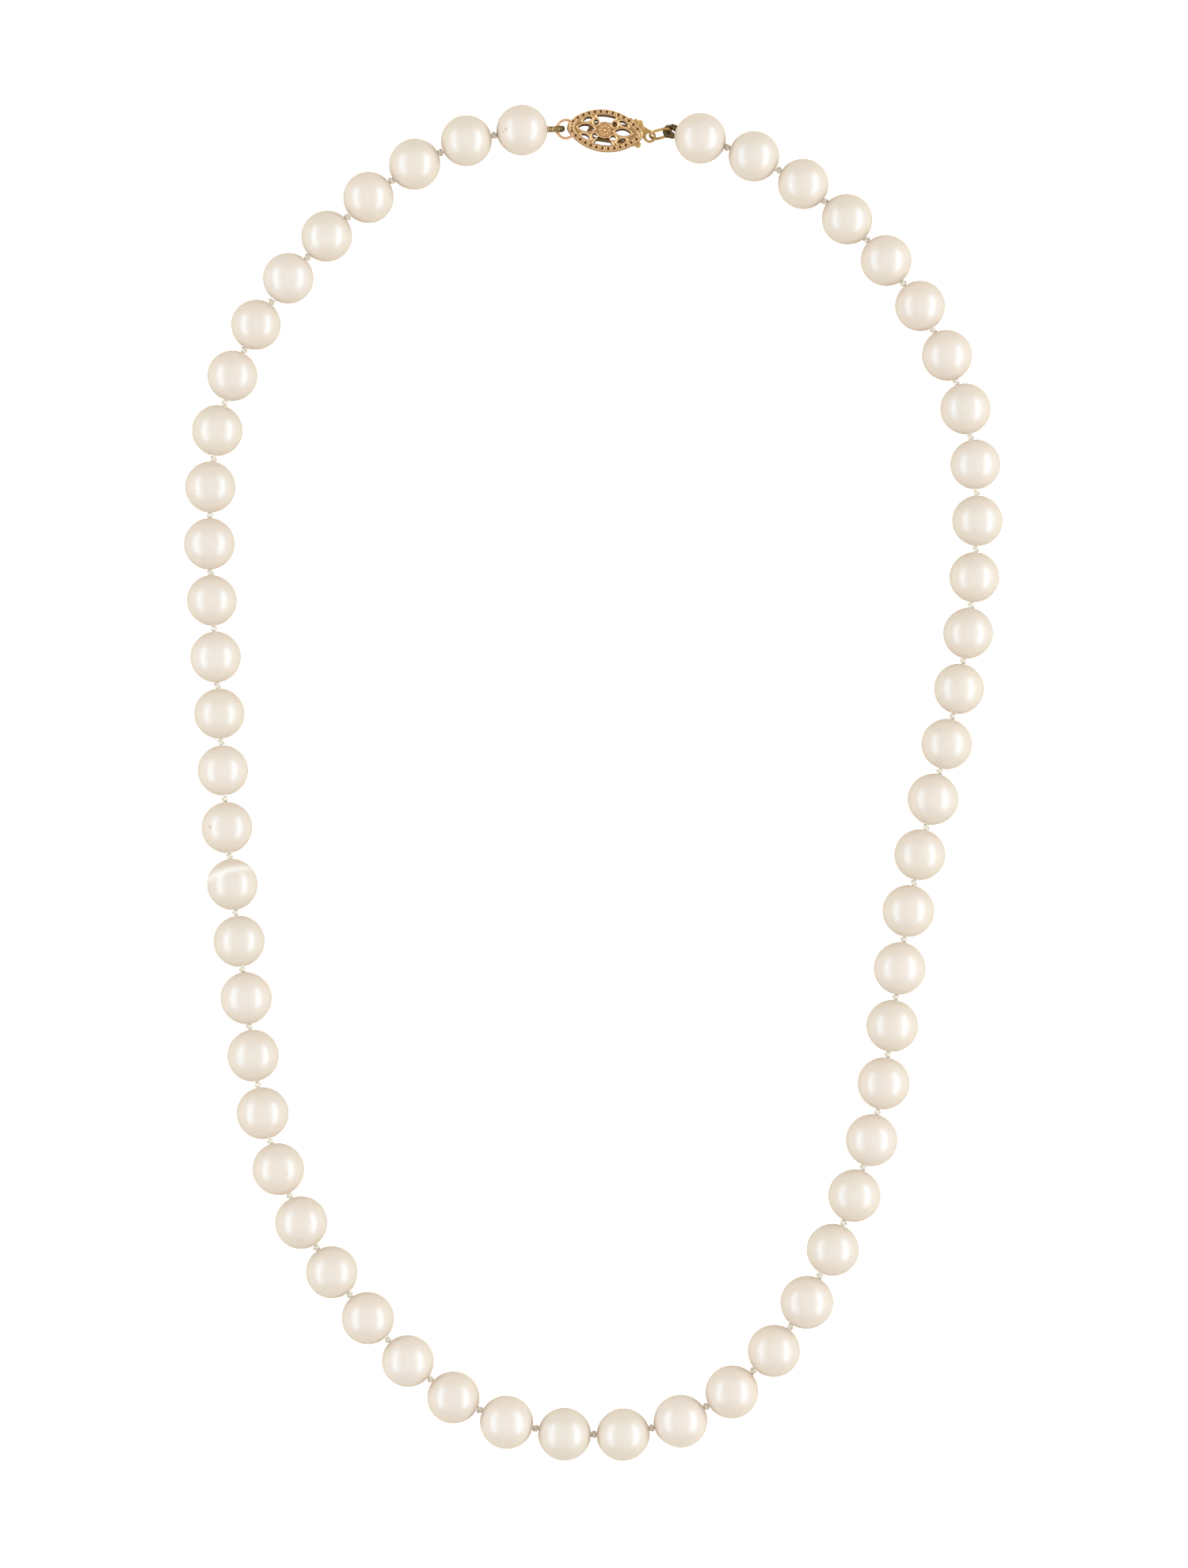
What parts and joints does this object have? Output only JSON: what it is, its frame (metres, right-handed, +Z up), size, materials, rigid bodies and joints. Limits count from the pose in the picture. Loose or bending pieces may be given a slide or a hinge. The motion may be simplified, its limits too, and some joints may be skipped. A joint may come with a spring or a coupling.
{
  "type": "pearl necklace",
  "caption": "Knotted strand of round cream pearls closed by a gold filigree marquise clasp with a spring tongue.",
  "frame": {"origin": "on the table at the middle of the closed loop's bounding box", "axes": "+Y towards the clasp, +X to the clasp's tongue side, +Z up off the table"},
  "size_m": [0.1103, 0.1825, 0.0072],
  "materials": {
    "pearl": "satin nacre, cream with faint rose and green overtones",
    "silk": "twisted off-white silk",
    "gimp_wire": "tarnished fine coiled wire",
    "clasp_gold": "polished 14-carat rose-yellow gold",
    "tongue_gold": "matte yellow gold"
  },
  "bodies": {
    "front": {"pearls_front": "pearl", "silk_front": "silk"},
    "left_link_01": {"pearls_left_01": "pearl", "silk_left_01": "silk", "pearls_left_02": "pearl", "silk_left_02": "silk"},
    "left_link_02": {"pearls_left_03": "pearl", "silk_left_03": "silk", "pearls_left_04": "pearl", "silk_left_04": "silk"},
    "left_link_03": {"pearls_left_05": "pearl", "silk_left_05": "silk", "pearls_left_06": "pearl", "silk_left_06": "silk"},
    "left_link_04": {"pearls_left_07": "pearl", "silk_left_07": "silk", "pearls_left_08": "pearl", "silk_left_08": "silk"},
    "left_link_05": {"pearls_left_09": "pearl", "silk_left_09": "silk", "pearls_left_10": "pearl", "silk_left_10": "silk"},
    "left_link_06": {"pearls_left_11": "pearl", "silk_left_11": "silk", "gimp_left": "gimp_wire"},
    "right_link_01": {"pearls_right_01": "pearl", "silk_right_01": "silk", "pearls_right_02": "pearl", "silk_right_02": "silk"},
    "right_link_02": {"pearls_right_03": "pearl", "silk_right_03": "silk", "pearls_right_04": "pearl", "silk_right_04": "silk"},
    "right_link_03": {"pearls_right_05": "pearl", "silk_right_05": "silk", "pearls_right_06": "pearl", "silk_right_06": "silk"},
    "right_link_04": {"pearls_right_07": "pearl", "silk_right_07": "silk", "pearls_right_08": "pearl", "silk_right_08": "silk"},
    "right_link_05": {"pearls_right_09": "pearl", "silk_right_09": "silk", "pearls_right_10": "pearl", "silk_right_10": "silk"},
    "right_link_06": {"pearls_right_11": "pearl", "silk_right_11": "silk", "gimp_right": "gimp_wire"},
    "ring_left": {"jump_ring_left": "clasp_gold"},
    "ring_right": {"jump_ring_right": "clasp_gold"},
    "clasp_housing": {"clasp_side_wall": "clasp_gold", "clasp_back_plate": "clasp_gold", "clasp_front_filigree": "clasp_gold", "clasp_front_border": "clasp_gold", "clasp_rosette": "clasp_gold"},
    "tongue": {"tongue_shank": "tongue_gold"},
    "spring": {"tongue_spring": "tongue_gold"}
  },
  "joints": [
    {"name": "strand_open", "type": "hinge", "parent": "front", "child": "right_link_01", "pos_m": [0.00777, -0.08665, 0.00359], "axis": [0, 0, -1], "range_deg": [0, 48.12]},
    {"name": "right_knot_02", "type": "hinge", "parent": "right_link_01", "child": "right_link_02", "pos_m": [0.0304, -0.0662, 0.00356], "axis": [0, 0, -1], "range_deg": [0, 32.63]},
    {"name": "right_knot_03", "type": "hinge", "parent": "right_link_02", "child": "right_link_03", "pos_m": [0.04065, -0.02868, 0.00352], "axis": [0, 0, -1], "range_deg": [0, 3.93]},
    {"name": "right_knot_04", "type": "hinge", "parent": "right_link_03", "child": "right_link_04", "pos_m": [0.04974, 0.01656, 0.00341], "axis": [0, 0, -1], "range_deg": [0, 16.55]},
    {"name": "right_knot_05", "type": "hinge", "parent": "right_link_04", "child": "right_link_05", "pos_m": [0.04571, 0.06102, 0.00341], "axis": [0, 0, -1], "range_deg": [0, 38.83]},
    {"name": "right_knot_06", "type": "hinge", "parent": "right_link_05", "child": "right_link_06", "pos_m": [0.02484, 0.08262, 0.00342], "axis": [0, 0, -1], "range_deg": [0, 25.66]},
    {"name": "right_gimp_turn", "type": "hinge", "parent": "right_link_06", "child": "ring_right", "pos_m": [0.01033, 0.088, 0.002], "axis": [0, 0, -1], "range_deg": [0, 34.46]},
    {"name": "tongue_eye_turn", "type": "hinge", "parent": "ring_right", "child": "tongue", "pos_m": [0.00751, 0.08729, 0.0014], "axis": [0, 0, -1], "range_deg": [-21.32, 0]},
    {"name": "left_knot_01", "type": "hinge", "parent": "front", "child": "left_link_01", "pos_m": [-0.01538, -0.08421, 0.00358], "axis": [0, 0, 1], "range_deg": [0, 38.82]},
    {"name": "left_knot_02", "type": "hinge", "parent": "left_link_01", "child": "left_link_02", "pos_m": [-0.03735, -0.06237, 0.00354], "axis": [0, 0, 1], "range_deg": [0, 30.27]},
    {"name": "left_knot_03", "type": "hinge", "parent": "left_link_02", "child": "left_link_03", "pos_m": [-0.0473, -0.02498, 0.00348], "axis": [0, 0, 1], "range_deg": [0, 10.07]},
    {"name": "left_knot_04", "type": "hinge", "parent": "left_link_03", "child": "left_link_04", "pos_m": [-0.05119, 0.02092, 0.00342], "axis": [0, 0, 1], "range_deg": [0, 14.97]},
    {"name": "left_knot_05", "type": "hinge", "parent": "left_link_04", "child": "left_link_05", "pos_m": [-0.04335, 0.06491, 0.00342], "axis": [0, 0, 1], "range_deg": [0, 38.39]},
    {"name": "left_knot_06", "type": "hinge", "parent": "left_link_05", "child": "left_link_06", "pos_m": [-0.02067, 0.08499, 0.00344], "axis": [0, 0, 1], "range_deg": [0, 29.65]},
    {"name": "left_gimp_turn", "type": "hinge", "parent": "left_link_06", "child": "ring_left", "pos_m": [-0.00502, 0.08828, 0.00175], "axis": [0, 0, 1], "range_deg": [0, 11.88]},
    {"name": "housing_ring_turn", "type": "hinge", "parent": "ring_left", "child": "clasp_housing", "pos_m": [-0.00379, 0.08828, 0.00175], "axis": [0, 0, 1], "range_deg": [0, 7.21]},
    {"name": "spring_press", "type": "hinge", "parent": "tongue", "child": "spring", "pos_m": [-0.00064, 0.08802, 0.0014], "axis": [0, 0, 1], "range_deg": [0, 5], "stiffness_Nm_per_rad": 0.2}
  ],
  "couplings": [
    {"joint": "right_knot_02", "follows": "strand_open", "ratio": 0.6778},
    {"joint": "right_knot_03", "follows": "strand_open", "ratio": 0.081375},
    {"joint": "right_knot_04", "follows": "strand_open", "ratio": 0.34381},
    {"joint": "right_knot_05", "follows": "strand_open", "ratio": 0.80677},
    {"joint": "right_knot_06", "follows": "strand_open", "ratio": 0.53295},
    {"joint": "right_gimp_turn", "follows": "strand_open", "ratio": 0.71596},
    {"joint": "tongue_eye_turn", "follows": "strand_open", "ratio": -0.44276},
    {"joint": "left_knot_01", "follows": "strand_open", "ratio": 0.80645},
    {"joint": "left_knot_02", "follows": "strand_open", "ratio": 0.62883},
    {"joint": "left_knot_03", "follows": "strand_open", "ratio": 0.20909},
    {"joint": "left_knot_04", "follows": "strand_open", "ratio": 0.31079},
    {"joint": "left_knot_05", "follows": "strand_open", "ratio": 0.79748},
    {"joint": "left_knot_06", "follows": "strand_open", "ratio": 0.61601},
    {"joint": "left_gimp_turn", "follows": "strand_open", "ratio": 0.2467},
    {"joint": "housing_ring_turn", "follows": "strand_open", "ratio": 0.14962}
  ]
}
